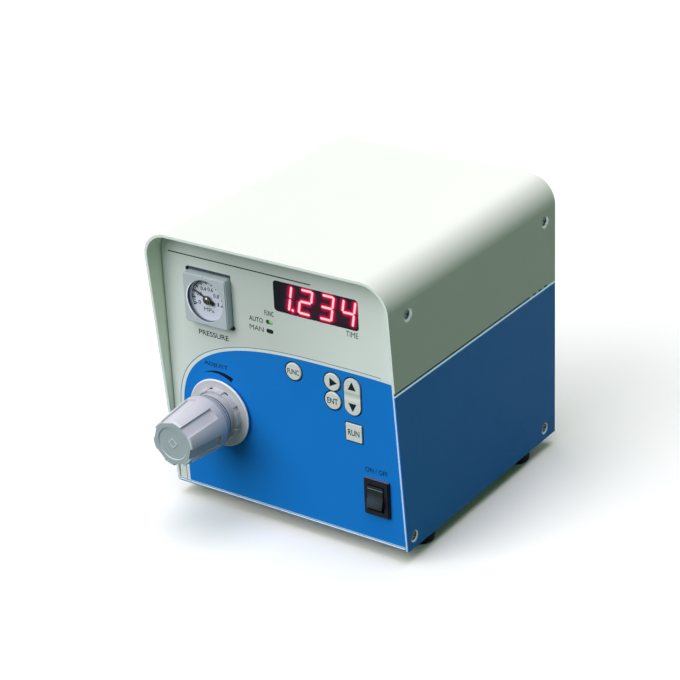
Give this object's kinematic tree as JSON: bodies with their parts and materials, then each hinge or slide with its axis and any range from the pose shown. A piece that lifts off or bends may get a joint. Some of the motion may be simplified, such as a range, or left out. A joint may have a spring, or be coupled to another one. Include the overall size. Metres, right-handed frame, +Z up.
{
  "type": "glue dispenser",
  "caption": "Desktop air-pulse glue dispenser: sheet-steel case on rubber feet with a pressure regulator knob, pressure gauge, digit display, keys and a power switch.",
  "frame": {"origin": "on the desk under the feet, midway across the case and midway between the knob's front face and the exhaust silencer's rear end", "axes": "+X to the right of someone facing the panel, +Y from the panel to the back, +Z up"},
  "size_m": [0.148, 0.2044, 0.158],
  "materials": {
    "case_paint": "satin powder coat, cream above and blue below",
    "panel_steel": "satin powder coat, cream",
    "panel_film": "printed film, blue area on a cream ground",
    "rubber_black": "matt black",
    "screw_steel": "nickel plated",
    "window_red": "smoked red acrylic",
    "digit_red": "cast epoxy, black face with red digits",
    "board_green": "green solder mask",
    "brass_post": "plain",
    "lamp_green": "lit green lens",
    "lamp_dark": "unlit green lens",
    "key_white": "fine texture",
    "black_plastic": "fine texture",
    "black_gloss": "polished",
    "gauge_grey": "smooth, pale lavender grey",
    "dial_white": "printed white",
    "pointer_black": "matt",
    "clear_lens": "clear",
    "zinc_body": "die cast, painted grey",
    "knob_grey": "fine texture, light grey",
    "plain_steel": "zinc plated",
    "valve_alloy": "machined",
    "fitting_white": "smooth",
    "tube_blue": "translucent polyurethane",
    "board_brown": "phenolic board",
    "part_yellow": "wound coil and cased parts",
    "collar_blue": "smooth",
    "bronze": "sintered",
    "wire_white": "PVC",
    "wire_red": "PVC"
  },
  "bodies": {
    "case": {"cover": "case_paint", "base_tray": "panel_steel", "front_panel": "panel_steel", "panel_overlay": "panel_film", "rear_panel": "panel_steel", "feet": "rubber_black", "foot_screws": "screw_steel", "cover_screws": "screw_steel", "inner_screws": "screw_steel", "display_window": "window_red", "digit_display": "digit_red", "display_board": "board_green", "board_spacers": "brass_post", "timer_lamp": "lamp_green", "free_lamp": "lamp_dark", "tact_switches": "black_plastic", "key_fulcrum": "plain_steel", "gauge_case": "gauge_grey", "gauge_dial": "dial_white", "gauge_lens": "clear_lens", "regulator_body": "zinc_body", "regulator_bonnet": "knob_grey", "regulator_nut": "knob_grey", "regulator_spring": "plain_steel", "switch_body": "black_plastic", "valve_block": "valve_alloy", "valve_coil": "black_plastic", "valve_bracket": "plain_steel", "port_fittings": "fitting_white", "supply_tube": "tube_blue", "pressure_tube": "tube_blue", "gauge_tube": "tube_blue", "outlet_tube": "tube_blue", "exhaust_tube": "tube_blue", "control_board": "board_green", "supply_board": "board_brown", "supply_parts": "part_yellow", "power_inlet": "black_plastic", "inlet_pins": "screw_steel", "fuse_holder": "black_plastic", "foot_switch_jack": "screw_steel", "air_in_fitting": "fitting_white", "air_out_fitting": "fitting_white", "exhaust_silencer": "bronze", "fitting_nuts": "screw_steel", "mains_wires": "wire_white", "control_wires": "wire_red"},
    "pressure_knob": {"regulator_knob": "knob_grey"},
    "pressure_screw": {"adjusting_screw": "plain_steel"},
    "pointer": {"gauge_pointer": "pointer_black"},
    "rocker": {"switch_rocker": "black_gloss"},
    "mode_key": {"key_mode": "key_white"},
    "right_key": {"key_right": "key_white"},
    "set_key": {"key_set": "key_white"},
    "up_down_key": {"key_up_down": "key_white"},
    "test_key": {"key_test": "key_white"},
    "in_collar": {"air_in_collar": "collar_blue"},
    "out_collar": {"air_out_collar": "collar_blue"},
    "fuse_drawer": {"fuse_cap": "black_plastic"}
  },
  "joints": [
    {"name": "pressure_turn", "type": "hinge", "parent": "case", "child": "pressure_screw", "pos_m": [-0.0402, -0.0812, 0.0582], "axis": [0, 1, 0], "range_deg": [-345, 1095]},
    {"name": "knob_pull", "type": "slide", "parent": "pressure_screw", "child": "pressure_knob", "axis": [0, -1, 0], "range_m": [0, 0.0025]},
    {"name": "pointer_swing", "type": "hinge", "parent": "case", "child": "pointer", "pos_m": [-0.042, -0.0634, 0.1224], "axis": [0, 1, 0], "range_deg": [-52, 168]},
    {"name": "rocker_tilt", "type": "hinge", "parent": "case", "child": "rocker", "pos_m": [0.0567, -0.0587, 0.035], "axis": [1, 0, 0], "range_deg": [0, 20]},
    {"name": "mode_press", "type": "slide", "parent": "case", "child": "mode_key", "axis": [0, 1, 0], "range_m": [0, 0.0004], "stiffness_N_per_m": 300},
    {"name": "right_press", "type": "slide", "parent": "case", "child": "right_key", "axis": [0, 1, 0], "range_m": [0, 0.0004], "stiffness_N_per_m": 300},
    {"name": "set_press", "type": "slide", "parent": "case", "child": "set_key", "axis": [0, 1, 0], "range_m": [0, 0.0004], "stiffness_N_per_m": 300},
    {"name": "test_press", "type": "slide", "parent": "case", "child": "test_key", "axis": [0, 1, 0], "range_m": [0, 0.0004], "stiffness_N_per_m": 300},
    {"name": "up_down_tilt", "type": "hinge", "parent": "case", "child": "up_down_key", "pos_m": [0.0439, -0.0569, 0.0882], "axis": [1, 0, 0], "range_deg": [-3, 3], "stiffness_Nm_per_rad": 0.02},
    {"name": "in_collar_push", "type": "slide", "parent": "case", "child": "in_collar", "axis": [0, -1, 0], "range_m": [0, 0.0008], "stiffness_N_per_m": 500},
    {"name": "out_collar_push", "type": "slide", "parent": "case", "child": "out_collar", "axis": [0, -1, 0], "range_m": [0, 0.0008], "stiffness_N_per_m": 500},
    {"name": "fuse_turn", "type": "hinge", "parent": "case", "child": "fuse_drawer", "pos_m": [0.044, 0.0902, 0.068], "axis": [0, -1, 0], "range_deg": [0, 60]}
  ]
}
